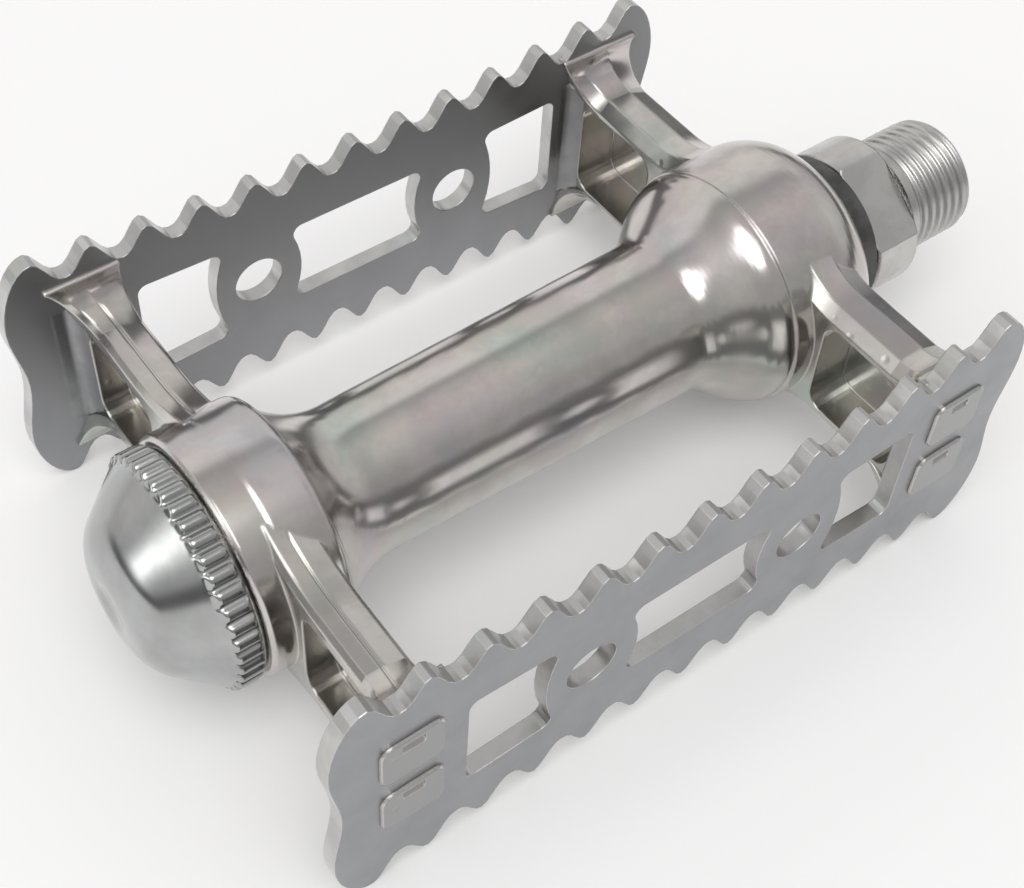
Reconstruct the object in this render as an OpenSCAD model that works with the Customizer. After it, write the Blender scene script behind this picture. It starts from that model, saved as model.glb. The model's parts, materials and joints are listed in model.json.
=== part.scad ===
/* [Cage plates] */
// Spacing of the teeth along a plate's edge
tooth_pitch = 6.35; // [6.1:0.05:6.6]
// Height of a tooth from valley to tip
tooth_depth = 3.1; // [2:0.1:3.4]
// Height of the end teeth above the spindle axis
tip_height_end = 16.3; // [15.8:0.1:17.5]
// Height of the middle tooth above the spindle axis
tip_height_mid = 13.9; // [13.4:0.1:15.5]
// Thickness of the plate stock
plate_thick = 1.9; // [1.5:0.1:2.5]
// Clear distance between the two plates
plate_gap = 58.6; // [56:0.2:62]
// Reach of a plate's end past its last tooth tip
end_reach = 4.1; // [3.6:0.1:4.6]
// Depth of the hollow in the middle of a plate's end
end_waist = 1.1; // [0.5:0.1:1.6]

/* [Plate windows and holes] */
// Distance between the two toe clip holes of a plate
clip_hole_spacing = 26.5; // [25.5:0.1:27.5]
// Diameter of a toe clip hole
clip_hole_d = 5.9; // [5:0.1:6.4]
// Metal between a clip hole and the middle window
eye_wall_mid = 2.6; // [2.2:0.1:3]
// Metal between a clip hole and a side window
eye_wall_side = 2.4; // [2:0.1:2.8]
// Height of the middle window at its ends
mid_window_h = 10.9; // [8:0.1:11.6]
// Length of a side window, from the clip hole's side to the outer end
side_window_l = 9; // [7:0.1:9.4]
// Height of a side window at its outer end
side_window_h = 13.9; // [10:0.1:14.4]

/* [Cast body] */
// Barrel diameter at its outboard end
barrel_d_out = 16.6; // [16:0.1:18]
// Barrel diameter at its inboard end
barrel_d_in = 17.9; // [17:0.1:20]
// Diameter of the outboard boss
boss_out_d = 26.8; // [26.2:0.1:28]
// Diameter of the inboard boss
boss_in_d = 28.6; // [27.6:0.1:30]
// Length of the outboard boss
boss_out_l = 9.8; // [9:0.1:10.8]
// Length of the inboard boss, from its shoulder seam to its mouth
boss_in_l = 13.3; // [12.8:0.1:14.4]
// Height of an arm over its flanges
arm_h = 16.9; // [15.6:0.1:17.6]
// Width of an outboard arm
arm_out_w = 5.1; // [4.6:0.1:5.6]
// Width of an inboard arm
arm_in_w = 7.1; // [6.4:0.1:7.6]
// Thickness of an arm's flanges
flange_t = 2.2; // [1.9:0.1:3]
// Thickness of an arm's web
web_t = 1.8; // [1.4:0.1:2.4]
// Radius of the hollow that runs from an arm up its foot to the plate
foot_r = 3.2; // [2.4:0.1:3.6]
// Radius of the hollow that runs from an outboard arm up onto its boss
root_out_r = 18; // [8:0.5:24]
// Radius of the hollow that runs from an inboard arm up onto its boss
root_in_r = 9; // [5:0.5:12]

/* [Staked tenons] */
// Distance of the tenons from the last tooth tip, along the plate
stake_inset = 4.4; // [4.2:0.1:4.8]
// Length of a tenon along the plate
tenon_l = 6.2; // [5:0.1:6.4]
// Height of a tenon
tenon_h = 5.4; // [4:0.1:5.8]
// Distance between the two tenons of an arm
tenon_pitch = 8.5; // [8:0.1:9]
// Height of the middle of the pair above the spindle axis
tenon_rise = 1; // [0:0.1:1.5]
// Height of a staked head over the plate
head_t = 0.4; // [0.3:0.1:0.8]

/* [Spindle] */
// Major diameter of the crank thread
thread_d = 14.29; // [12.7:0.01:14.29]
// Length of the crank thread from its shoulder
thread_l = 11.1; // [9:0.1:14]
// Diameter of the wrench collar
collar_d = 18.3; // [17.6:0.1:19]
// Length of the wrench collar
collar_l = 6.5; // [5:0.1:8]
// Distance across the wrench flats
flats_w = 15; // [14.6:0.1:15.4]
// Angle of the wrench flats about the axis
flats_turn = 36; // [0:1:179]
// Diameter of the land under the dust seal
seal_land_d = 16.4; // [16:0.1:16.8]
// Shaft diameter next to the inboard race
shaft_d_in = 9.2; // [8.6:0.1:9.4]
// Diameter of the threaded outboard end
stub_d = 8; // [7.4:0.1:8.2]

/* [Bearings] */
// Diameter of a bearing ball
ball_d = 3.969; // [3.9:0.01:4]
// Diameter of the circle through the ball centres
ball_circle_d = 13.8; // [13.7:0.1:14]
// Number of balls in each bearing
ball_count = 10; // [8, 9, 10]
// Outside diameter of a bearing cup
cup_d = 19.2; // [19:0.1:19.6]
// Length of a bearing cup
cup_l = 5.6; // [5.2:0.1:6]
// Room left between a ball and its races
race_room = 0.045; // [0.02:0.005:0.06]

/* [Dust cap and seal] */
// Diameter of the cap's knurled rim
cap_rim_d = 25.8; // [25:0.1:26.6]
// Length of the knurled rim
cap_rim_l = 3; // [2.6:0.1:3.8]
// Number of grooves in the knurl
knurl_count = 42; // [36:1:46]
// Length of the cap's nose in front of the rim
nose_l = 6.6; // [6:0.1:7.6]
// Diameter of the cap's threaded spigot
spigot_d = 22.4; // [21.6:0.1:22.8]
// Wall of the cap
cap_wall = 1.2; // [0.9:0.1:1.5]
// Length of the dust seal outside the boss
seal_l = 3.8; // [2.4:0.1:4.4]
// Wall of the dust seal round its land
seal_wall = 1.16; // [0.9:0.01:1.2]

/* [Fits] */
// Radial clearance of a screwed or staked joint
fit = 0.05; // [0.02:0.01:0.08]
// Radial clearance of the running seal
seal_fit = 0.09; // [0.05:0.01:0.1]
// Axial clearance between the turning collar and the seal
end_play = 0.3; // [0.2:0.05:0.5]

/* [Hidden] */
$fn = 96;
far = 60;

// Stations along the axis are measured from the middle of the cage, outboard side negative
horn_x = 6 * tooth_pitch;
stake_x = horn_x - stake_inset;
arm_out_x = 4.3 - stake_x - arm_out_w;
arm_in_x = stake_x - 3;
boss_out_end = -stake_x - 3.5;
boss_out_root = boss_out_end + boss_out_l;
seam_inset = 5.4;
boss_in_seam = stake_x - seam_inset;
boss_in_end = boss_in_seam + boss_in_l;
seal_end = boss_in_end + seal_l;
collar_start = seal_end + end_play;
shoulder_x = collar_start + collar_l;
// The origin is where the axis meets the collar's shoulder, so the cage is moved outboard
cage_x = -shoulder_x;

tooth_steps = 120;
lobe_x = horn_x + end_reach;
lobe_z = 8.5;
plate_in_y = plate_gap / 2;
plate_out_y = plate_in_y + plate_thick;
clip_hole_x = clip_hole_spacing / 2;
eye_bow = 1.4;
window_corner = 1.1;
mid_window_x = clip_hole_x - clip_hole_d / 2 - eye_wall_mid + eye_bow;
side_window_x0 = clip_hole_x + clip_hole_d / 2 + eye_wall_side - eye_bow;
side_window_x1 = side_window_x0 + eye_bow + side_window_l;
side_window_rise = 0.5;

arm_z = arm_h / 2;
arm_root_y = 9.5;
pocket_z = arm_z - flange_t;
pocket_corner = 2;
pocket_rib = 0.9;
foot_wall_y = plate_in_y - 2;
foot_y = plate_in_y - 0.5 - foot_r;
crown_depth = 3;
// Top of an arm's section: places behind its front, with depths below its top
crown_out = [[0, 0.8], [0.6, 0], [2.1, 0.1], [2.3, 0.4], [2.5, 0.15],
    [arm_out_w - 0.4, 0.8], [arm_out_w, 1.2]];
crown_in = [[0, 1.6], [1.2, 0], [4.2, 0], [4.4, 0.25], [arm_in_w - 0.3, 1.2], [arm_in_w, 1.6]];
tenon_corner = 0.9;
head_rim = 0.4;
head_shelf = 0.15;
tenon_root = 0.05;
nick_l = 2.4;
nick_w = 0.9;
nick_inset = 1;

pitch_r = ball_circle_d / 2;
race_r = ball_d / 2 + race_room;
cup_r = cup_d / 2;
seal_r = seal_land_d / 2 + seal_fit + seal_wall;
// The boss's mouth holds the seal's spigot, which is a little wider than the seal in front of it
seal_step = 0.15;
mouth_r = seal_r + seal_step;
cup_back = 1.35;
cup_in_x = boss_in_end - 3.5 - cup_l;
cup_out_x = boss_out_root - 1.2;
race_in_x = cup_in_x + race_r + cup_back;
race_out_x = cup_out_x - race_r - cup_back;
cup_bore_r = pitch_r - 0.6;
cup_mouth_r = pitch_r + 1;
spigot_end = boss_out_end + 2.5;
rim_back = boss_out_end - 0.4;
rim_front = rim_back - cap_rim_l;
nose_x = rim_front - nose_l;
stub_r = stub_d / 2;
cone_l = 6;
cone_back = race_out_x + 1.4;
cone_front = cone_back - cone_l;
cone_neck_l = 1.9;
cone_nose_r = pitch_r - 2;
cone_flat_l = 1.8;
cone_flat_depth = 0.8;
cone_r = pitch_r - 0.3;
washer_t = 1;
washer_r = 6.2;
nut_t = 3.6;
nut_w = 12;
nut_front = cone_front - washer_t - nut_t;
stub_end = nut_front - 1.4;
key_w = 1.8;
key_depth = 0.9;
key_end = cone_front + 1.5;

flare_out_l = 7.9;
flare_in_l = 8.8;
dome_l = 5.8;
flare_steps = 18;
mouth_wall = 0.7;
barrel_bore_r = 6.2;
knurl_r = 0.45;
knurl_land = 0.2;
knurl_bead = 0.35;
flank_depth = 4.2;
flank_r = cap_rim_d / 2 - flank_depth;
shoulder_bevel = 0.8;
dimple_r = 2.6;
dimple_depth = 0.45;
seal_spigot = 2;

ball_ids = [1:ball_count];

// Points on an arc, from angle a0 to angle a1
function arc(cx, cy, rx, ry, a0, a1, n = 8) =
    [for (i = [0:n]) let (a = a0 + (a1 - a0) * i / n) [cx + rx * cos(a), cy + ry * sin(a)]];
// Points on a cubic curve from p to s, drawn towards q and r
function bezier(p, q, r, s, n = 8) =
    [for (i = [0:n]) let (t = i / n, u = 1 - t)
        u * u * u * p + 3 * u * u * t * q + 3 * u * t * t * r + t * t * t * s];
function unit(v) = v / norm(v);
function reversed(list) = [for (i = [len(list) - 1:-1:0]) list[i]];
// The corner at point b of the path a, b, c, rounded to radius r
function rounded(a, b, c, r, n = 5) =
    let (u = unit(a - b), v = unit(c - b), half = acos(u * v) / 2,
        m = b + unit(u + v) * r / sin(half),
        p = b + u * r / tan(half) - m, q = b + v * r / tan(half) - m)
    [for (i = [0:n]) m + r * unit(p * (n - i) / n + q * i / n)];

module along_x(x0, x1) translate([x0, 0, 0]) rotate([90, 0, 90]) linear_extrude(x1 - x0) children();
module along_y(y0, y1) translate([0, y1, 0]) rotate([90, 0, 0]) linear_extrude(y1 - y0) children();
// A solid turned about the spindle axis, from points of radius and station
module turned(points) rotate([0, 90, 0]) rotate_extrude() polygon(points);
// The ring of room in which the balls of a bearing run
module race(x) rotate([0, 90, 0]) translate([0, 0, x]) rotate_extrude()
    translate([pitch_r, 0]) circle(race_r);
// Everything is drawn about the middle of the cage and moved to the shoulder's frame here
module seat(tint) color(tint) translate([cage_x, 0, 0]) children();
module both_sides() {
    children();
    mirror([0, 1, 0]) children();
}

// Share of a tooth's height at place x: one at a tip and nothing in a valley
function tooth(x) = pow(abs(cos(180 * x / tooth_pitch)), 2.6);
// Height of the line through the tooth tips, lowest in the middle
function tip_line(x) = tip_height_mid + (tip_height_end - tip_height_mid) * pow(x / horn_x, 2);
function edge_z(x) = tip_line(x) - tooth_depth * (1 - tooth(x));
function waist_x(z) = lobe_x - end_waist * (1 + cos(180 * z / lobe_z)) / 2;
// Outline of the quarter of a plate's end from its waist to the last tooth tip
end_curve = concat(
    [for (i = [0:5]) let (z = lobe_z * i / 6) [waist_x(z), z]],
    bezier([lobe_x, lobe_z], [lobe_x, lobe_z + 3.6], [horn_x + 2.2, tip_height_end],
        [horn_x, tip_height_end]));
tooth_edge = [for (i = [1:tooth_steps - 1]) let (x = horn_x * (1 - 2 * i / tooth_steps)) [x, edge_z(x)]];
upper_outline = concat(end_curve, tooth_edge, [for (p = reversed(end_curve)) [-p[0], p[1]]]);
inner_points = [for (i = [1:len(upper_outline) - 2]) upper_outline[i]];
plate_outline = concat(upper_outline, [for (p = reversed(inner_points)) [p[0], -p[1]]]);

// A window from x0 to x1, z0 and z1 half its height there, whose ends bulge inwards
module window(x0, x1, z0, z1, bow0, bow1) {
    right = [for (i = [0:8]) let (t = i / 4 - 1) [x1 - bow1 * (1 - t * t), z1 * t]];
    left = [for (i = [8:-1:0]) let (t = i / 4 - 1) [x0 + bow0 * (1 - t * t), z0 * t]];
    polygon(concat(
        rounded(left[8], right[0], right[1], window_corner),
        [for (i = [1:7]) right[i]],
        rounded(right[7], right[8], left[0], window_corner),
        rounded(right[8], left[0], left[1], window_corner),
        [for (i = [1:7]) left[i]],
        rounded(left[7], left[8], right[0], window_corner)));
}

// A rectangle from point p to point q with round corners
module round_box(p, q, r) {
    c = [p, [q[0], p[1]], q, [p[0], q[1]]];
    polygon([for (i = [0:3]) each rounded(c[(i + 3) % 4], c[i], c[(i + 1) % 4], r)]);
}

module tenon_outline(grow) {
    half = [tenon_l / 2 + grow, tenon_h / 2 + grow];
    round_box(-half, half, tenon_corner + grow);
}

module at_tenons() for (x = [-stake_x, stake_x], z = [-1, 1])
    translate([x, 0, tenon_rise + z * tenon_pitch / 2]) children();

// One toothed plate, on the +Y side
module plate() {
    difference() {
        along_y(plate_in_y, plate_out_y) difference() {
            polygon(plate_outline);
            window(-mid_window_x, mid_window_x, mid_window_h / 2, mid_window_h / 2, eye_bow, eye_bow);
            for (side = [0, 1]) mirror([side, 0])
                window(side_window_x0, side_window_x1, side_window_h / 2 - side_window_rise,
                    side_window_h / 2, eye_bow, 0);
        }
        for (x = [-clip_hole_x, clip_hole_x]) translate([x, 0, 0])
            rotate([-90, 0, 0]) cylinder(h = far, d = clip_hole_d);
        at_tenons() along_y(0, far) tenon_outline(fit);
    }
}

module front_cage_plate() seat("silver") mirror([0, 1, 0]) plate();

module rear_cage_plate() seat("silver") plate();

// The crown of an arm bent round an axis at place y, which lies r above the arm, from y0 to y1
module bent_crown(front, crown, y, r, y0, y1) {
    width = crown[len(crown) - 1][0];
    intersection() {
        translate([0, y, arm_z + r]) turned(concat([for (p = crown) [r + p[1], front + p[0]]],
            [[r + crown_depth, front + width], [r + crown_depth, front]]));
        translate([front, y0, 0]) cube([width, y1 - y0, arm_z + r]);
    }
}

// An arm on the +Y side, from inside its boss of radius boss_r to the plate
module arm(front, crown, boss_r, root_r) {
    back = front + crown[len(crown) - 1][0];
    top = [for (p = crown) [front + p[0], arm_z - p[1]]];
    root_y = sqrt(pow(boss_r + root_r, 2) - pow(arm_z + root_r, 2));
    difference() {
        union() {
            along_y(arm_root_y, plate_in_y) polygon(concat(top, [for (p = reversed(top)) [p[0], -p[1]]]));
            for (side = [0, 1]) mirror([0, 0, side]) {
                bent_crown(front, crown, root_y, root_r, root_y * boss_r / (boss_r + root_r), root_y);
                bent_crown(front, crown, foot_y, foot_r, foot_y, plate_in_y);
            }
        }
        along_x(front - 1, back - web_t)
            round_box([boss_r + pocket_rib, -pocket_z], [foot_wall_y, pocket_z], pocket_corner);
    }
}

// Tenon ends that pass through the plate, spread over it by a chisel blow
module staked_tenons() at_tenons() difference() {
    union() {
        along_y(plate_in_y - tenon_root, plate_out_y) tenon_outline(0);
        along_y(plate_out_y, plate_out_y + head_t / 2) tenon_outline(head_rim);
        along_y(plate_out_y, plate_out_y + head_t) tenon_outline(head_rim - head_shelf);
    }
    translate([0, plate_out_y + head_t, tenon_h / 2 - nick_inset]) rotate([45, 0, 0])
        cube([nick_l, nick_w, nick_w], center = true);
}

// The flare from the outboard boss down to the barrel, and the swell up to the inboard boss
boss_flare = [for (i = [flare_steps:-1:0]) let (t = i / flare_steps)
    [barrel_d_out / 2 + (boss_out_d / 2 - 1.4 - barrel_d_out / 2) * pow(t, 2.2),
        boss_out_root + flare_out_l * (1 - t)]];
boss_swell = [for (i = [0:flare_steps]) let (t = i / flare_steps)
    [barrel_d_in / 2 + (boss_in_d / 2 - 0.5 - barrel_d_in / 2) * (1 - cos(180 * t)) / 2,
        boss_in_seam - flare_in_l * (1 - t)]];
boss_dome = [for (p = arc(boss_in_end - dome_l, mouth_r + mouth_wall, dome_l,
    boss_in_d / 2 - mouth_r - mouth_wall, 90, 0, 12)) [p[1], p[0]]];
// Outline of the casting about the axis: boss, waisted barrel, domed boss
body_outline = concat(
    [[0, boss_out_end], [boss_out_d / 2 - 0.5, boss_out_end], [boss_out_d / 2 - 0.1, boss_out_end + 0.4],
        [boss_out_d / 2 - 0.1, -stake_x + 0.4], [boss_out_d / 2, -stake_x + 0.6]],
    arc(boss_out_d / 2 - 1.2, boss_out_root - 1.2, 1.2, 1.2, 0, 80, 4),
    boss_flare, boss_swell,
    [[boss_in_d / 2 - 0.2, boss_in_seam + 0.1], [boss_in_d / 2 - 0.1, boss_in_seam + 2]],
    boss_dome, [[0, boss_in_end]]);

module pedal_body() seat("gainsboro") difference() {
    union() {
        turned(body_outline);
        both_sides() {
            arm(arm_out_x, crown_out, boss_out_d / 2, root_out_r);
            arm(arm_in_x, crown_in, boss_in_d / 2 - 0.1, root_in_r);
            staked_tenons();
        }
    }
    turned([[0, boss_out_end - 1], [spigot_d / 2 + fit, boss_out_end - 1],
        [spigot_d / 2 + fit, spigot_end + 0.4], [cup_r, spigot_end + 0.4],
        [cup_r, cup_out_x], [barrel_bore_r, cup_out_x],
        [barrel_bore_r, cup_in_x], [cup_r, cup_in_x], [cup_r, cup_in_x + cup_l], [mouth_r, cup_in_x + cup_l],
        [mouth_r, boss_in_end + 1], [0, boss_in_end + 1]]);
}

// A hardened cup: back face at station 0, open end at cup_l
module cup() difference() {
    turned([[cup_bore_r, 0], [cup_r - 0.3, 0], [cup_r, 0.3], [cup_r, cup_l - 0.3], [cup_r - 0.3, cup_l],
        [cup_mouth_r + 0.3, cup_l], [cup_mouth_r, cup_l - 0.3], [cup_mouth_r, cup_back + race_r],
        [cup_bore_r, cup_back]]);
    race(cup_back + race_r);
}

module inboard_cup() seat("dimgray") translate([cup_in_x, 0, 0]) cup();

module outboard_cup() seat("dimgray") translate([cup_out_x, 0, 0]) mirror([1, 0, 0]) cup();

// One-piece axle: stub thread, tapered shaft, race, seal land, wrench collar, crank thread
module spindle() seat("darkgray") difference() {
    turned([[0, stub_end], [stub_r - 0.5, stub_end], [stub_r, stub_end + 0.5], [stub_r, cone_back + 2],
        [stub_r + 0.2, cone_back + 2.5], [shaft_d_in / 2, cup_in_x], [shaft_d_in / 2, race_in_x - 1.2],
        [seal_land_d / 2, race_in_x + 3.6], [seal_land_d / 2, collar_start],
        [collar_d / 2 - 0.3, collar_start], [collar_d / 2, collar_start + 0.3],
        [collar_d / 2, shoulder_x - shoulder_bevel / 2], [collar_d / 2 - shoulder_bevel, shoulder_x],
        [thread_d / 2, shoulder_x], [thread_d / 2, shoulder_x + thread_l - 1.1],
        [thread_d / 2 - 0.5, shoulder_x + thread_l - 0.4], [thread_d / 2 - 1.3, shoulder_x + thread_l],
        [0, shoulder_x + thread_l]]);
    race(race_in_x);
    rotate([flats_turn, 0, 0]) for (side = [0, 1]) mirror([0, 0, side])
        translate([collar_start - 0.1, -collar_d / 2, flats_w / 2])
            cube([collar_l + 0.1, collar_d, collar_d]);
    translate([stub_end - 1, -key_w / 2, stub_r - key_depth]) cube([key_end - stub_end + 1, key_w, stub_r]);
}

module outboard_cone() seat("dimgray") difference() {
    turned([[stub_r + fit, cone_front], [cone_r - 0.3, cone_front], [cone_r, cone_front + 0.3],
        [cone_r, race_out_x - cone_neck_l], [cone_nose_r, cone_back], [stub_r + fit, cone_back]]);
    race(race_out_x);
    for (side = [0, 1]) mirror([0, 0, side])
        translate([cone_front - 1, -cone_r, cone_r - cone_flat_depth])
            cube([cone_flat_l + 1, 2 * cone_r, far]);
}

module lock_washer() seat("gray") {
    turned([[stub_r + fit, cone_front - washer_t], [washer_r, cone_front - washer_t], [washer_r, cone_front],
        [stub_r + fit, cone_front]]);
    translate([cone_front - washer_t, -key_w / 2 + fit, stub_r - key_depth + fit])
        cube([washer_t, key_w - 2 * fit, key_depth + 0.4]);
}

module lock_nut() seat("gray") difference() {
    intersection() {
        rotate([0, 90, 0]) translate([0, 0, nut_front])
            cylinder(h = nut_t, d = nut_w / cos(30), $fn = 6);
        turned([[0, nut_front], [nut_w / 2 - 0.1, nut_front], [nut_w / 2 + 1, nut_front + 0.7],
            [nut_w / 2 + 1, nut_front + nut_t], [0, nut_front + nut_t]]);
    }
    turned([[0, nut_front - 1], [stub_r + fit, nut_front - 1], [stub_r + fit, nut_front + nut_t + 1],
        [0, nut_front + nut_t + 1]]);
}

// The cap's nose, a cone with a rounded end, at depth inset below its outer surface
function nose(inset) = concat(
    [[cap_rim_d / 2 - 0.5 - inset * 1.3, rim_front]],
    bezier([flank_r - inset, rim_front - 0.657 * nose_l + inset * 0.7],
        [flank_r - 2.1 - inset, rim_front - 0.98 * nose_l + inset],
        [flank_r - 2.8, nose_x + inset], [0, nose_x + inset], 12));

module dust_cap() seat("whitesmoke") difference() {
    turned(concat([[0, spigot_end], [spigot_d / 2 - 0.3, spigot_end], [spigot_d / 2, spigot_end - 0.3],
        [spigot_d / 2, rim_back], [cap_rim_d / 2 - 0.3, rim_back], [cap_rim_d / 2, rim_back - 0.3],
        [cap_rim_d / 2, rim_front + 0.3], [cap_rim_d / 2 - 0.3, rim_front]], nose(0)));
    turned(concat([[0, spigot_end + 1], [spigot_d / 2 - cap_wall, spigot_end + 1],
        [spigot_d / 2 - cap_wall, rim_front + 1]], nose(cap_wall)));
    for (i = [1:knurl_count]) rotate([360 * i / knurl_count, 0, 0])
        translate([rim_front + knurl_land, 0, cap_rim_d / 2 + 0.1]) rotate([0, 90, 0])
            cylinder(h = cap_rim_l - knurl_land - knurl_bead, r = knurl_r, $fn = 24);
    translate([nose_x - dimple_r + dimple_depth, 0, 0]) sphere(dimple_r);
}

module dust_seal() seat("#3a3a3a") turned([
    [seal_land_d / 2 + seal_fit, boss_in_end - seal_spigot], [mouth_r - fit, boss_in_end - seal_spigot],
    [mouth_r - fit, boss_in_end], [seal_r, boss_in_end], [seal_r, seal_end - 0.4],
    [seal_r - 0.4, seal_end], [seal_land_d / 2 + seal_fit, seal_end]]);

module ball(x, i) seat("lightgray") rotate([360 * i / ball_count, 0, 0])
    translate([x, 0, pitch_r]) sphere(d = ball_d);

pedal_body();
front_cage_plate();
rear_cage_plate();
spindle();
inboard_cup();
outboard_cup();
outboard_cone();
lock_washer();
lock_nut();
dust_cap();
dust_seal();
for (i = ball_ids) {
    ball(race_in_x, i);
    ball(race_out_x, i);
}
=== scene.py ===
"""Bicycle pedal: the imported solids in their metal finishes, with the crank thread, the dust cap's
rounded knurl and the spread feet of the arms made here."""

import json
from math import cos, pi, radians

import bpy
import numpy as np
from mathutils import Matrix, Vector


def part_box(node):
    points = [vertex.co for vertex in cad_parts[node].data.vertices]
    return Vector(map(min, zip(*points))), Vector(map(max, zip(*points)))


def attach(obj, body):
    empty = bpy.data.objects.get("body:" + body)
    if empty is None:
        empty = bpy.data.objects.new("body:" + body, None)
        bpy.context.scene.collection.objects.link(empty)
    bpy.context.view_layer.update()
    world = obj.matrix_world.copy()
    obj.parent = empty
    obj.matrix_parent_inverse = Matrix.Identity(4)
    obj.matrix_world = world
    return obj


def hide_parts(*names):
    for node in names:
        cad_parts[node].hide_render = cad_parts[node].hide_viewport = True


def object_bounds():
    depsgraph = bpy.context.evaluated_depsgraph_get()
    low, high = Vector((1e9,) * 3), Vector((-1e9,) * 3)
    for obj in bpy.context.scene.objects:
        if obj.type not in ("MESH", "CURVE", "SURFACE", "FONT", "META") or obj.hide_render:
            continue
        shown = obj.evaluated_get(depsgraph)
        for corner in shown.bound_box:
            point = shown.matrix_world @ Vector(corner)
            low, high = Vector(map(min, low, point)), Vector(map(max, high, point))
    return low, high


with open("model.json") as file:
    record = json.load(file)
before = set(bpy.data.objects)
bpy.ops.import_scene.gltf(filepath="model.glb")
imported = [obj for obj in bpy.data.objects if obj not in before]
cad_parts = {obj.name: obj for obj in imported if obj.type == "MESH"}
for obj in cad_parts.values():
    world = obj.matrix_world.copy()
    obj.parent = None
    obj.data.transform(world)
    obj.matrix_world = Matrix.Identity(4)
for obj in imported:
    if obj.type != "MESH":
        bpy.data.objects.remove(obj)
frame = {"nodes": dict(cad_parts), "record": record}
NODES = frame["nodes"]
CAD_BOX = [list(corner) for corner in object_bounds()]

MM = 0.001
# The cage's middle lies this far outboard of the collar's shoulder, the frame's origin
CAGE_X = (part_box("front_cage_plate")[0].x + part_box("front_cage_plate")[1].x) / 2


# Node helpers

def node(tree, kind, inputs=None, **settings):
    """A shader node with its settings; each input is a plain value or another node's output."""
    made = tree.nodes.new("ShaderNode" + kind)
    for name, value in settings.items():
        setattr(made, name, value)
    for name, value in (inputs or {}).items():
        socket = made.inputs[name]
        if isinstance(value, bpy.types.NodeSocket):
            tree.links.new(value, socket)
        else:
            socket.default_value = value
    return made


def rgb(red, green, blue):
    return (red, green, blue, 1.0)


def ramp(tree, value, stops, smooth=True):
    """A colour ramp from (place, grey or colour) pairs."""
    made = node(tree, "ValToRGB", {0: value})
    made.color_ramp.interpolation = "EASE" if smooth else "LINEAR"
    band = made.color_ramp.elements
    while len(band) < len(stops):
        band.new(0.5)
    for mark, (place, shade) in zip(band, stops):
        mark.position = place
        mark.color = shade if isinstance(shade, tuple) else rgb(shade, shade, shade)
    return made.outputs[0]


def maths(tree, operation, *values):
    made = node(tree, "Math", operation=operation)
    for i, value in enumerate(values):
        if isinstance(value, bpy.types.NodeSocket):
            tree.links.new(value, made.inputs[i])
        else:
            made.inputs[i].default_value = value
    return made.outputs[0]


def blend(tree, share, first, second, how="MIX"):
    """Two colours mixed by a share."""
    made = node(tree, "Mix", data_type="RGBA", blend_type=how)
    for index, value in ((0, share), (6, first), (7, second)):
        if isinstance(value, bpy.types.NodeSocket):
            tree.links.new(value, made.inputs[index])
        else:
            made.inputs[index].default_value = value
    return made.outputs[2]


def effect(name, inputs, outputs):
    """A new node group with named sockets: (tree, its inputs, its output node)."""
    tree = bpy.data.node_groups.new(name, "ShaderNodeTree")
    for label, kind, value in inputs:
        socket = tree.interface.new_socket(label, in_out="INPUT", socket_type="NodeSocket" + kind)
        if value is not None:
            socket.default_value = value
    for label, kind in outputs:
        tree.interface.new_socket(label, in_out="OUTPUT", socket_type="NodeSocket" + kind)
    return tree, tree.nodes.new("NodeGroupInput").outputs, tree.nodes.new("NodeGroupOutput").inputs


def place(tree, group, **inputs):
    """A node group set in a material; underscores in the names stand for spaces."""
    return node(tree, "Group", {k.replace("_", " "): v for k, v in inputs.items()},
                node_tree=group).outputs


# Effects that several finishes share

def make_soft_edge():
    """Rounds edges in the shading and marks where they are: the mask grows as the rounded normal
    leans away from the true one."""
    tree, given, put = effect("soft_edge", [("Radius", "Float", 0.3 * MM)],
                              [("Normal", "Vector"), ("Edge", "Float")])
    soft = node(tree, "Bevel", {"Radius": given["Radius"]}, samples=8).outputs[0]
    true = node(tree, "NewGeometry").outputs["Normal"]
    lean = node(tree, "VectorMath", {0: soft, 1: true}, operation="DOT_PRODUCT").outputs["Value"]
    tree.links.new(soft, put["Normal"])
    tree.links.new(ramp(tree, lean, [(0.55, 1.0), (0.98, 0.0)]), put["Edge"])
    return tree


def make_grain():
    """Fine parallel scratches: noise squeezed across the grain and stretched along it."""
    tree, given, put = effect("grain", [("Vector", "Vector", None), ("Along", "Float", 40.0),
                                        ("Across", "Float", 4000.0)], [("Height", "Float")])
    squeezed = node(tree, "VectorMath", {0: given["Vector"], 1: node(tree, "CombineXYZ", {
        "X": given["Along"], "Y": given["Across"], "Z": given["Across"]}).outputs[0]},
        operation="MULTIPLY").outputs[0]
    lines = node(tree, "TexNoise", {"Vector": squeezed, "Scale": 1.0, "Detail": 3.0,
                                    "Roughness": 0.6}).outputs[0]
    tree.links.new(lines, put["Height"])
    return tree


def make_tint():
    """Faint drifts of warm, rosy and greenish grey, as on aged polished aluminium."""
    tree, given, put = effect("tint", [("Vector", "Vector", None), ("Scale", "Float", 90.0),
                                       ("Base", "Color", rgb(0.8, 0.8, 0.8)),
                                       ("Amount", "Float", 0.5)], [("Color", "Color")])
    drift = node(tree, "TexNoise", {"Vector": given["Vector"], "Scale": given["Scale"],
                                    "Detail": 2.0, "Roughness": 0.5}).outputs[0]
    hues = ramp(tree, drift, [(0.30, rgb(0.90, 0.98, 0.93)), (0.45, rgb(1.0, 0.99, 0.95)),
                              (0.58, rgb(1.0, 0.955, 0.965)), (0.72, rgb(0.95, 0.96, 1.0))])
    tinted = blend(tree, 1.0, given["Base"], hues, "MULTIPLY")
    tree.links.new(blend(tree, given["Amount"], given["Base"], tinted), put["Color"])
    return tree


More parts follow.
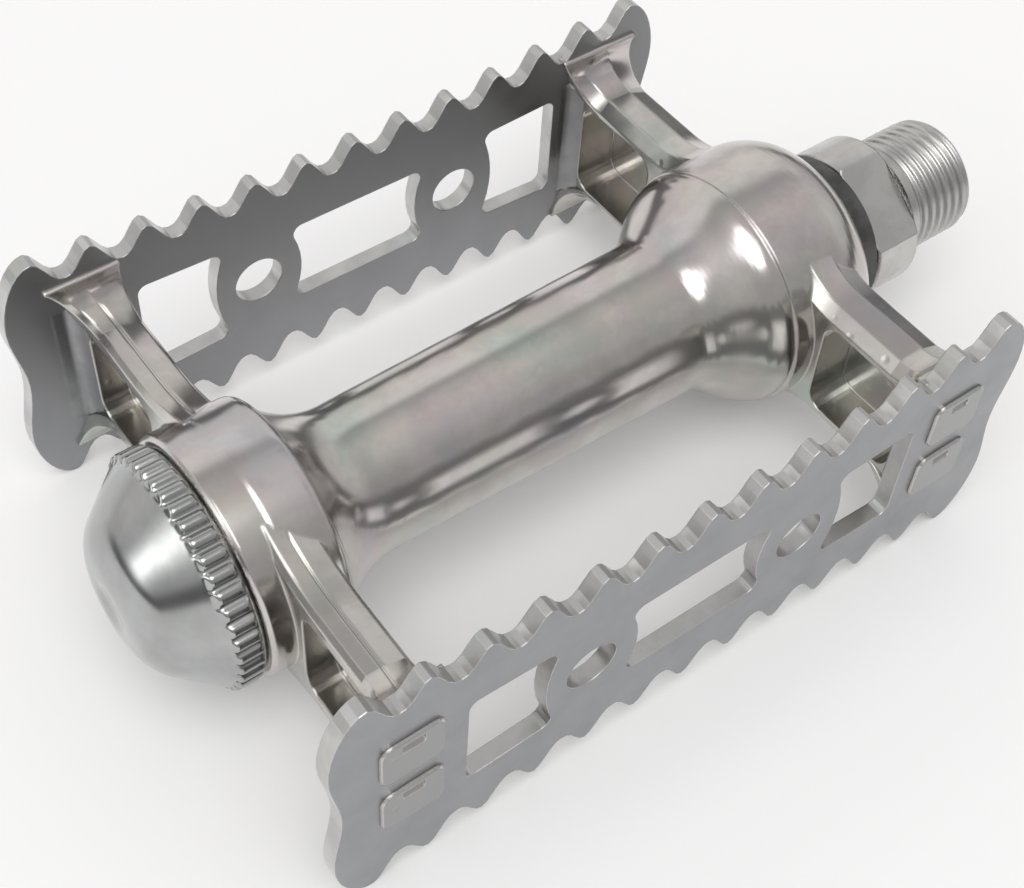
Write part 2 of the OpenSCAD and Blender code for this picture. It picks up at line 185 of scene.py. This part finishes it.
def make_pits():
    """Small scattered dents: discs round the points of a cell pattern, some cells only."""
    tree, given, put = effect("pits", [("Vector", "Vector", None), ("Scale", "Float", 300.0),
                                       ("Size", "Float", 0.25), ("Share", "Float", 0.3)],
                              [("Mask", "Float")])
    cells = node(tree, "TexVoronoi", {"Vector": given["Vector"], "Scale": given["Scale"]},
                 feature="F1")
    disc = maths(tree, "SUBTRACT", 1.0, maths(tree, "DIVIDE", cells.outputs["Distance"],
                                              given["Size"]))
    pick = node(tree, "SeparateColor", {0: cells.outputs["Color"]}).outputs[0]
    chosen = maths(tree, "LESS_THAN", pick, given["Share"])
    tree.links.new(maths(tree, "MULTIPLY", maths(tree, "MAXIMUM", disc, 0.0), chosen), put["Mask"])
    return tree


SOFT_EDGE, GRAIN, TINT, PITS = make_soft_edge(), make_grain(), make_tint(), make_pits()


# Finishes

def start(name):
    """An empty material: (material, tree, its shader, Object coordinates)."""
    material = bpy.data.materials.new(name)
    material.use_nodes = True
    tree = material.node_tree
    shader = tree.nodes["Principled BSDF"]
    return material, tree, shader, node(tree, "TexCoord").outputs["Object"]


def metal(name, colour, rough, tint=0.5, tint_scale=90.0, along=40.0, across=4000.0,
          scratch=0.02 * MM, ripple=0.0, pits=0.0, edge=0.3 * MM, painted_edge_highlight=0.0,
          edge_rough=0.2, dirt=0.15, face=None, face_from=0.0):
    """A worked metal surface: tinted colour, uneven gloss, scratches along the spindle,
    slow ripples, small pits and softened edges, with a painted highlight along the edges. Faces square to Y
    that lie further out than face_from may take a darker colour, which is painted shade."""
    material, tree, shader, at = start(name)
    shader.inputs["Metallic"].default_value = 1.0
    soft = place(tree, SOFT_EDGE, Radius=edge)
    lines = place(tree, GRAIN, Vector=at, Along=along, Across=across)["Height"]
    patches = node(tree, "TexNoise", {"Vector": at, "Scale": 160.0, "Detail": 4.0,
                                      "Roughness": 0.6}).outputs[0]
    body = place(tree, TINT, Vector=at, Scale=tint_scale, Base=rgb(*colour), Amount=tint)["Color"]
    dents = place(tree, PITS, Vector=at, Scale=420.0, Size=0.22, Share=0.22)["Mask"]
    grime = ramp(tree, patches, [(0.35, 1.0), (0.62, 1.0 - dirt)])
    body = blend(tree, 1.0, body, grime, "MULTIPLY")
    # Painted shade: faces square to Y, further out than face_from, take the darker face colour
    if face:
        square = node(tree, "SeparateXYZ", {0: node(tree, "TexCoord").outputs["Normal"]}).outputs["Y"]
        flat = ramp(tree, maths(tree, "ABSOLUTE", square), [(0.90, 0.0), (0.97, 1.0)])
        out = maths(tree, "ABSOLUTE", node(tree, "SeparateXYZ", {0: at}).outputs["Y"])
        flat = maths(tree, "MULTIPLY", flat, maths(tree, "GREATER_THAN", out, face_from))
        body = blend(tree, flat, body, rgb(*face))
    # Painted highlight: a pale colour blended in along the softened edges
    body = blend(tree, maths(tree, "MULTIPLY", soft["Edge"], painted_edge_highlight), body,
                 rgb(0.92, 0.92, 0.90))
    tree.links.new(body, shader.inputs["Base Color"])
    gloss = node(tree, "MapRange", {"Value": patches, "From Min": 0.3, "From Max": 0.7,
                                    "To Min": rough * 0.8, "To Max": rough * 1.3}).outputs[0]
    gloss = node(tree, "Mix", {0: soft["Edge"], 2: gloss, 3: edge_rough},
                 data_type="FLOAT").outputs[0]
    tree.links.new(gloss, shader.inputs["Roughness"])
    waves = node(tree, "TexNoise", {"Vector": at, "Scale": 120.0, "Detail": 1.0}).outputs[0]
    height = maths(tree, "ADD", maths(tree, "MULTIPLY", lines, scratch),
                   maths(tree, "MULTIPLY", waves, ripple))
    height = maths(tree, "SUBTRACT", height, maths(tree, "MULTIPLY", dents, pits))
    bump = node(tree, "Bump", {"Height": height, "Distance": 1.0, "Strength": 1.0,
                               "Normal": soft["Normal"]}).outputs[0]
    tree.links.new(bump, shader.inputs["Normal"])
    return material


PLATE_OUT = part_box("rear_cage_plate")[1].y
# Faces of the staked heads beyond the plate take the plate's darker face colour, which is painted shade
POLISHED_BODY = metal("polished_body", (0.62, 0.605, 0.59), 0.18, tint=1.0, scratch=0.001 * MM,
                      ripple=0.003 * MM, pits=0.03 * MM, edge=0.4 * MM, painted_edge_highlight=0.35,
                      face=(0.33, 0.33, 0.33), face_from=PLATE_OUT)
# The plate's faces square to Y take a darker colour, which is painted shade; its edges take a painted
# highlight
SATIN_PLATE = metal("satin_plate", (0.62, 0.62, 0.61), 0.34, tint=0.3, scratch=0.006 * MM,
                    edge=0.22 * MM, painted_edge_highlight=0.5, face=(0.33, 0.335, 0.345))
# The plate's finish in its darker face colour all over, which is painted shade, for pieces on the plate's
# inner face
SHADED_PLATE = metal("shaded_plate", (0.33, 0.335, 0.345), 0.34, tint=0.3, scratch=0.006 * MM,
                     edge=0.22 * MM)
POLISHED_CAP = metal("polished_cap", (0.46, 0.475, 0.47), 0.16, tint=0.4, scratch=0.001 * MM,
                     ripple=0.008 * MM, edge=0.2 * MM, painted_edge_highlight=0.4)
SATIN_STEEL = metal("satin_steel", (0.58, 0.575, 0.56), 0.27, tint=0.2, along=1500.0,
                    across=150.0, scratch=0.003 * MM, edge=0.4 * MM, painted_edge_highlight=0.1)
GROUND_STEEL = metal("ground_steel", (0.50, 0.50, 0.50), 0.22, tint=0.2, scratch=0.002 * MM,
                     edge=0.1 * MM)
BALL_STEEL = metal("ball_steel", (0.70, 0.70, 0.71), 0.08, tint=0.0, scratch=0.0, edge=0.0001 * MM,
                   dirt=0.05)


def dark_rubber():
    """Dull dark rubber with a dusty bloom."""
    material, tree, shader, at = start("dark_rubber")
    bloom = node(tree, "TexNoise", {"Vector": at, "Scale": 400.0, "Detail": 4.0}).outputs[0]
    tree.links.new(ramp(tree, bloom, [(0.3, rgb(0.035, 0.035, 0.035)),
                                      (0.7, rgb(0.085, 0.085, 0.08))]), shader.inputs["Base Color"])
    shader.inputs["Roughness"].default_value = 0.55
    tree.links.new(node(tree, "Bump", {"Height": bloom, "Distance": 0.02 * MM}).outputs[0],
                   shader.inputs["Normal"])
    return material


RUBBER = dark_rubber()

FINISHES = {"cast_body": POLISHED_BODY, "cage_plate": SATIN_PLATE, "dust_cap": POLISHED_CAP,
            "spindle": SATIN_STEEL, "small_steel": SATIN_STEEL, "bearing": GROUND_STEEL,
            "balls": BALL_STEEL, "dust_seal": RUBBER}
for part in frame["record"]["subparts"]:
    slots = NODES[part["node"]].data.materials
    slots.clear()
    slots.append(FINISHES[part["material_slot"]])


# Making pieces

def new_piece(name, points, faces, material, body):
    """A smooth-shaded mesh that rides on a body and takes a material slot."""
    mesh = bpy.data.meshes.new(name)
    mesh.from_pydata(points, [], faces)
    mesh.validate()
    mesh.shade_smooth()
    mesh.materials.append(material)
    piece = bpy.data.objects.new(name, mesh)
    bpy.context.scene.collection.objects.link(piece)
    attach(piece, body)
    return piece


def ring_faces(first, rings, count):
    """Quads that join rings of points lying one after another along X, facing outwards."""
    i, j = np.meshgrid(np.arange(rings - 1), np.arange(count), indexing="ij")
    near = first + i * count + j
    side = first + i * count + (j + 1) % count
    return np.stack([near, side, side + count, near + count], -1).reshape(-1, 4).tolist()


def end_faces(ring, count, tip, forward):
    """A fan from a ring, given by its first point, to the point tip, facing along X or against it."""
    spots = ring + np.arange(count)
    pairs = zip(spots.tolist(), np.roll(spots, -1).tolist())
    return [(a, b, tip) if forward else (b, a, tip) for a, b in pairs]


# Crank thread

THREAD_R = 14.29 / 2 * MM
THREAD_PITCH = 1.27 * MM
THREAD_DEPTH = 0.55 * MM
# The plain neck ends here
THREAD_START = 2.0 * MM
# Length over which the groove reaches its depth
THREAD_FADE = 0.6 * THREAD_PITCH
# A swing above 0.5 cuts the wave off at the crest and the root, which leaves narrow flats there
GROOVE_SWING = 0.62
THREAD_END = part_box("spindle")[1].x
LEAD_IN, LEAD_IN_SLOPE = 1.1 * MM, 0.55
END_BEVEL, END_BEVEL_SLOPE = 0.4 * MM, 0.9
NECK_FILLET, NECK_RISE = 0.8 * MM, 0.3 * MM
POINTS_PER_TURN = 144
POINTS_PER_PITCH = 18


def thread_radius(turn, x):
    """Radius at an angle and a place: a helical groove shaped as a cosine wave, whose depth fades
    in past the plain neck, under a two-step lead-in chamfer. A parabola fillets the shoulder."""
    phase = (x / THREAD_PITCH - turn / (2 * pi)) % 1.0
    groove = np.clip(0.5 - GROOVE_SWING * np.cos(2 * pi * phase), 0.0, 1.0)
    fade = np.clip((x - THREAD_START) / THREAD_FADE, 0.0, 1.0)
    left = THREAD_END - x
    limit = (THREAD_R - LEAD_IN_SLOPE * np.clip(LEAD_IN - left, 0.0, None)
             - END_BEVEL_SLOPE * np.clip(END_BEVEL - left, 0.0, None))
    neck = NECK_RISE * np.clip(1 - x / NECK_FILLET, 0.0, 1.0) ** 2
    return np.minimum(THREAD_R - THREAD_DEPTH * groove * fade, limit) + neck


def make_thread():
    """The spindle with a cut thread: the solid's own faces up to the shoulder, and beyond it rings
    of points round X, closed by a flat end."""
    source = NODES["spindle"].data
    spots = np.empty(len(source.vertices) * 3, np.float32)
    source.vertices.foreach_get("co", spots)
    spots = spots.reshape(-1, 3)
    kept = [list(face.vertices) for face in source.polygons
            if spots[list(face.vertices), 0].max() < 0.01 * MM]
    used = np.unique(np.concatenate(kept))
    kept = [np.searchsorted(used, face).tolist() for face in kept]
    spots = spots[used]
    inside = THREAD_R - 0.4 * MM
    x = np.arange(0, THREAD_END, THREAD_PITCH / POINTS_PER_PITCH)
    x = np.append(x, [THREAD_END - END_BEVEL, THREAD_END])
    x.sort()
    turn = np.linspace(0, 2 * pi, POINTS_PER_TURN, endpoint=False)
    radius = thread_radius(turn[None, :], x[:, None])
    rings = np.stack([np.broadcast_to(x[:, None], radius.shape), radius * np.cos(turn),
                      radius * np.sin(turn)], axis=-1).reshape(-1, 3)
    root = np.stack([np.full_like(turn, -0.05 * MM), inside * np.cos(turn), inside * np.sin(turn)], 1)
    first = len(spots)
    points = np.concatenate([spots, root, rings, [[THREAD_END, 0, 0]]])
    quads = ring_faces(first, len(x) + 1, POINTS_PER_TURN)
    cap = end_faces(first + len(x) * POINTS_PER_TURN, POINTS_PER_TURN, len(points) - 1, True)
    spindle = new_piece("threaded_spindle", points, kept + quads + cap, SATIN_STEEL, "axle")
    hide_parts("spindle")


make_thread()


# Dust cap with a rounded knurl

CAP_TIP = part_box("dust_cap")[0].x
CAP_SPIGOT_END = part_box("dust_cap")[1].x
CAP_RIM_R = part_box("dust_cap")[1].z
CAP_RIM_BACK = CAGE_X - 37.6 * MM
CAP_RIM_FRONT = CAP_RIM_BACK - 3.0 * MM
# Room between the rim and the boss, filled by a plain step a little lower than the knurl's bottoms
STEP_L, STEP_DROP = 0.35 * MM, 0.1 * MM
SPIGOT_R = 11.2 * MM
FLANK_L, FLANK_SLOPE = 3.0 * MM, 0.83
DIMPLE_R, DIMPLE_DEPTH = 2.9 * MM, 0.45 * MM
KNURL_COUNT = 42
KNURL_DEPTH = 0.6 * MM
# Share of the knurl's pitch that a bar takes
BAR_SHARE = 0.8
BAR_END_L = 0.5 * MM
POINTS_PER_BAR = 12


def bezier(p, q, r, s, count):
    """Points on a cubic curve from p to s, drawn towards q and r."""
    t = np.linspace(0, 1, count)[:, None]
    return (1 - t) ** 3 * p + 3 * (1 - t) ** 2 * t * q + 3 * (1 - t) * t ** 2 * r + t ** 3 * s


def cap_profile():
    """Places along X and radii of the cap from its spigot to its tip, at the bottom of the knurl:
    a plain step, the rim, a straight flank, a nose drawn as a cubic curve, and a dimple."""
    root = CAP_RIM_R - KNURL_DEPTH
    rim = [(x, root) for x in np.linspace(CAP_RIM_BACK, CAP_RIM_FRONT, 17)]
    spigot = [(CAP_SPIGOT_END, SPIGOT_R), (CAP_RIM_BACK + STEP_L + 0.01 * MM, SPIGOT_R),
              (CAP_RIM_BACK + STEP_L, root - STEP_DROP), (CAP_RIM_BACK + 0.05 * MM, root)]
    flank = [(CAP_RIM_FRONT - share * FLANK_L, root - share * FLANK_L * FLANK_SLOPE)
             for share in (0.1, 0.5, 1.0)]
    start = np.array(flank[-1]) + np.array([-1.1, -0.92]) * MM
    nose = bezier(start, start + np.array([-1.4, -1.18]) * MM, np.array([CAP_TIP, 5.9 * MM]),
                  np.array([CAP_TIP, DIMPLE_R]), 16)
    dimple = [(CAP_TIP + depth * MM, r * MM)
              for depth, r in ((0.05, 2.5), (0.17, 2.0), (0.3, 1.4), (0.4, 0.7))]
    return np.array(spigot + rim + flank + nose.tolist() + dimple)


def make_cap():
    """The cap as rings of points round X, widened over the rim by the bars of the knurl: each is
    a half ellipse across, and its ends are quarters of an ellipse."""
    x, radius = cap_profile().T
    count = KNURL_COUNT * POINTS_PER_BAR
    turn = np.linspace(0, 2 * pi, count, endpoint=False)
    across = 2 * ((turn * KNURL_COUNT / (2 * pi)) % 1.0) - 1
    bar = np.sqrt(1 - np.clip(np.abs(across) / BAR_SHARE, 0.0, 1.0) ** 2)
    middle, half = (CAP_RIM_BACK + CAP_RIM_FRONT) / 2, (CAP_RIM_BACK - CAP_RIM_FRONT) / 2
    past = np.clip((np.abs(x - middle) - half + BAR_END_L) / BAR_END_L, 0.0, 1.0)
    rise = KNURL_DEPTH * np.sqrt(1 - past ** 2)
    r = radius[:, None] + rise[:, None] * bar[None, :]
    rings = np.stack([np.broadcast_to(x[:, None], r.shape), r * np.cos(turn), r * np.sin(turn)],
                     axis=-1)[::-1].reshape(-1, 3)
    ends = [[CAP_TIP + DIMPLE_DEPTH, 0, 0], [CAP_SPIGOT_END, 0, 0]]
    points = np.concatenate([rings, ends])
    faces = ring_faces(0, len(x), count)
    faces += end_faces(0, count, len(rings), False)
    faces += end_faces(len(rings) - count, count, len(rings) + 1, True)
    cap = new_piece("knurled_cap", points, faces, POLISHED_CAP, "cage")
    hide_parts("dust_cap")


make_cap()


# Feet of the arms

PLATE_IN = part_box("rear_cage_plate")[0].y
ARM_Z = 8.45 * MM
# An arm's crown, from its outboard side inboard: place across, and drop below ARM_Z, in millimetres
CROWN_OUT = [(0, 0.8), (0.6, 0), (2.1, 0.1), (2.3, 0.4), (2.5, 0.15), (4.7, 0.8), (5.1, 1.2)]
CROWN_IN = [(0, 1.6), (1.2, 0), (4.2, 0), (4.4, 0.25), (6.8, 1.2), (7.1, 1.6)]
FLANGE = 2.1 * MM
WALL = 2.0 * MM
# The feet start this far inside the arms, so that no two faces coincide
SUNK = 0.02 * MM
INTO_PLATE = 0.9 * MM
FOOT_REACH, FOOT_RISE = 5.0 * MM, 3.6 * MM
# Thickness of a foot's rim on the plate, and the steps towards the plate and up that round it
FOOT_EDGE = 0.55 * MM
FOOT_ROUNDING = ((0.08, 0.10), (0.20, 0.10), (0.35, 0.04))
SEAT_Z = 8.05 * MM
SEAT_LAP = 0.4 * MM
SEAT_SHORT = 0.5 * MM
SEAT_DIP = 0.6 * MM
SEAT_SKIN = 0.06 * MM
SEAT_ROOT = 0.3 * MM
SEAT_FILLET = 1.6 * MM
# Each pair of arms: its name, outboard side, crown, and spread to either side at the plate
ARMS = (("outboard", CAGE_X - 34.5 * MM, CROWN_OUT, 3.1 * MM, 0.3 * MM),
        ("inboard", CAGE_X + 30.7 * MM, CROWN_IN, 2.2 * MM, 1.2 * MM))


def mirrored(rings, side, up):
    """Rings for one quarter of the cage: mirrored in Y and Z, and turned round where that turns
    the faces inwards."""
    rings = rings * np.array([1, side, up])
    return rings if side * up > 0 else rings[:, ::-1]


def make_shell(name, rings, material):
    """A closed piece of the cage through rings of equal length, with flat ends."""
    steps, count = rings.shape[:2]
    faces = ring_faces(0, steps, count)
    faces += [tuple(range(count))[::-1], tuple(range((steps - 1) * count, steps * count))]
    piece = new_piece(name, rings.reshape(-1, 3), faces, material, "cage")
    piece.data.set_sharp_from_angle(angle=radians(35))


def make_cove(name, front, crown, front_flare, back_flare, side, up):
    """The flange of an arm bent up to the plate along a quarter of an ellipse; its crown spreads
    both ways and flattens as it rises."""
    across, drop = np.array(crown).T * MM
    width = across[-1]
    share = across / width
    bend = np.radians(np.linspace(0, 90, 17))[:, None]
    risen = 1 - np.cos(bend)
    spread = share * back_flare - (1 - share) * front_flare
    x = front + SUNK + across * (1 - 2 * SUNK / width) + risen * spread
    loops = []
    for depth in (SUNK + drop * (1 - risen), np.full_like(risen * drop, FLANGE)):
        y = PLATE_IN - FOOT_EDGE - FOOT_REACH + (FOOT_REACH + depth) * np.sin(bend)
        z = ARM_Z + FOOT_RISE * risen - depth * np.cos(bend)
        loops.append(np.stack([x, np.minimum(y, PLATE_IN + INTO_PLATE), z], axis=-1))
    rings = np.concatenate([loops[0], loops[1][:, ::-1]], axis=1)
    for further in FOOT_ROUNDING:
        last = rings[-1:] + np.array([0, *further]) * MM
        last[..., 1] = np.minimum(last[..., 1], PLATE_IN + INTO_PLATE)
        rings = np.concatenate([rings, last])
    make_shell(name, mirrored(rings, side, up), POLISHED_BODY)


def make_seat(name, front, reach, side):
    """The plate's inner face beside an arm's pocket, with a fillet from the pocket's wall onto it.
    It dips into the plate at its rim, so that no step shows."""
    x = np.append(front + SEAT_LAP, np.linspace(front, front - reach, 25))
    x = np.append(x, x[-1] - SEAT_DIP)
    rise = np.clip(1 - (front - x) / SEAT_FILLET, 0.0, 1.0)
    thick = SEAT_SKIN + (WALL - SUNK - SEAT_SKIN) * rise ** 2
    thick[-1] = -SEAT_SKIN
    inner, sunk = PLATE_IN - thick, np.full_like(x, PLATE_IN + SEAT_SKIN)
    outer = np.full_like(x, PLATE_IN + SEAT_ROOT)
    high, rim = np.full_like(x, SEAT_Z), np.full_like(x, SEAT_Z + SEAT_DIP)
    rings = np.stack([np.stack([x, y, z], axis=-1) for y, z in
                      ((inner, high), (sunk, rim), (outer, rim),
                       (outer, -rim), (sunk, -rim), (inner, -high))], axis=1)
    # The seat and its fillet take the plate's darker face colour, which is painted shade
    make_shell(name, mirrored(rings, side, 1), SHADED_PLATE)


for end, front, crown, front_flare, back_flare in ARMS:
    for row, side in (("front", -1), ("rear", 1)):
        make_seat(f"{row}_{end}_seat", front, front_flare - SEAT_SHORT, side)
        for level, up in (("upper", 1), ("lower", -1)):
            make_cove(f"{row}_{end}_{level}_cove", front, crown, front_flare, back_flare, side, up)


# Studio

FLOOR_LIFT = 0.1


def studio_floor():
    """A plain pale floor under the pedal's lowest teeth. What the camera and the metal's mirror see
    of it is lifted a little, so that it looks white without more light on the pedal."""
    low = CAD_BOX[0][2]
    half = 3.0
    mesh = bpy.data.meshes.new("floor")
    mesh.from_pydata([(-half, -half, low), (half, -half, low), (half, half, low), (-half, half, low)],
                     [], [(0, 1, 2, 3)])
    floor = bpy.data.objects.new("floor", mesh)
    bpy.context.scene.collection.objects.link(floor)
    material, tree, shader, _ = start("pale_floor")
    shader.inputs["Base Color"].default_value = rgb(0.90, 0.90, 0.90)
    shader.inputs["Roughness"].default_value = 0.9
    shader.inputs["Specular IOR Level"].default_value = 0.1
    ray = node(tree, "LightPath").outputs
    seen = maths(tree, "ADD", ray["Is Camera Ray"], ray["Is Glossy Ray"])
    seen = maths(tree, "ADD", seen, ray["Is Transmission Ray"])
    shader.inputs["Emission Color"].default_value = rgb(1.0, 1.0, 1.0)
    tree.links.new(maths(tree, "MULTIPLY", seen, FLOOR_LIFT), shader.inputs["Emission Strength"])
    mesh.materials.append(material)


def glow(tree, direction, toward, spread, strength):
    """A soft round brightening of the sky about a direction."""
    aim = Vector(toward).normalized()
    near = node(tree, "VectorMath", {0: direction, 1: tuple(aim)}, operation="DOT_PRODUCT").outputs["Value"]
    fall = maths(tree, "MULTIPLY", maths(tree, "SUBTRACT", near, 1.0), 1 / (1 - cos(radians(spread))))
    return maths(tree, "MULTIPLY", maths(tree, "EXPONENT", fall), strength)


def studio_sky():
    """A soft world: pale over the pedal's sides, with a dark gap overhead as between two soft
    boxes. Low beyond the ends of the spindle it is dark, with a window beyond the cap."""
    world = bpy.data.worlds.new("studio")
    bpy.context.scene.world = world
    world.use_nodes = True
    tree = world.node_tree
    tree.nodes.clear()
    direction = node(tree, "TexCoord").outputs["Generated"]
    way = node(tree, "SeparateXYZ", {0: direction}).outputs
    turn = maths(tree, "DIVIDE", maths(tree, "ARCTAN2", way["Z"], way["Y"]), pi)
    across = ramp(tree, turn, [(0.0, 0.70), (0.10, rgb(0.90, 0.86, 0.84)), (0.28, 0.88),
                               (0.33, 0.42), (0.40, 0.60), (0.50, rgb(0.74, 0.69, 0.68)),
                               (0.62, 0.60), (0.72, 0.55), (0.80, 0.45), (1.0, 0.45)],
                  smooth=False)
    ends = ramp(tree, way["Z"], [(0.0, 0.10), (0.12, 0.12), (0.24, 0.60), (0.60, 0.72), (1.0, 0.66)])
    endwise = ramp(tree, maths(tree, "ABSOLUTE", way["X"]), [(0.55, 0.0), (0.85, 1.0)])
    shade = blend(tree, endwise, across, ends)
    glows = maths(tree, "ADD", glow(tree, direction, (-0.56, -0.17, 0.81), 7, 1.8),
                  glow(tree, direction, (-0.91, 0.10, 0.40), 11, 2.4))
    shade = blend(tree, 1.0, shade, node(tree, "CombineColor", {i: glows for i in range(3)}).outputs[0],
                  "ADD")
    sky = node(tree, "Background", {"Color": shade, "Strength": 1.0}).outputs[0]
    tree.links.new(sky, node(tree, "OutputWorld").inputs[0])


def soft_box(name, toward, distance, width, height, strength):
    """An oval area lamp in a given direction, facing the pedal's middle."""
    data = bpy.data.lights.new(name, "AREA")
    data.shape = "ELLIPSE"
    data.size, data.size_y = width, height
    data.energy = strength
    lamp = bpy.data.objects.new(name, data)
    way = Vector(toward).normalized()
    lamp.matrix_world = Matrix.Translation(Vector((CAGE_X, 0, 0)) + way * distance) @ (
        way.to_track_quat("Z", "Y").to_matrix().to_4x4())
    bpy.context.scene.collection.objects.link(lamp)


def photo_camera():
    """The camera that fits the photograph, from its place and axes in the cage's frame."""
    data = bpy.data.cameras.new("camera")
    data.sensor_width = 36.0
    data.lens = 60.2
    data.shift_y = -44 / 1024
    data.clip_start = 0.01
    right = Vector((0.80489, -0.59153, 0.04728))
    down = Vector((-0.43018, -0.63651, -0.64015))
    away = Vector((0.40877, 0.49492, -0.76679))
    turn = Matrix((right, -down, -away)).transposed().to_4x4()
    camera = bpy.data.objects.new("camera", data)
    camera.matrix_world = Matrix.Translation((CAGE_X - 74.52 * MM, -90.71 * MM, 139.52 * MM)) @ turn
    bpy.context.scene.collection.objects.link(camera)
    bpy.context.scene.camera = camera


studio_floor()
studio_sky()
soft_box("key", (-0.2, -0.3, 0.93), 1.2, 0.9, 0.9, 5.0)
photo_camera()

bpy.context.scene.view_settings.view_transform = "Standard"
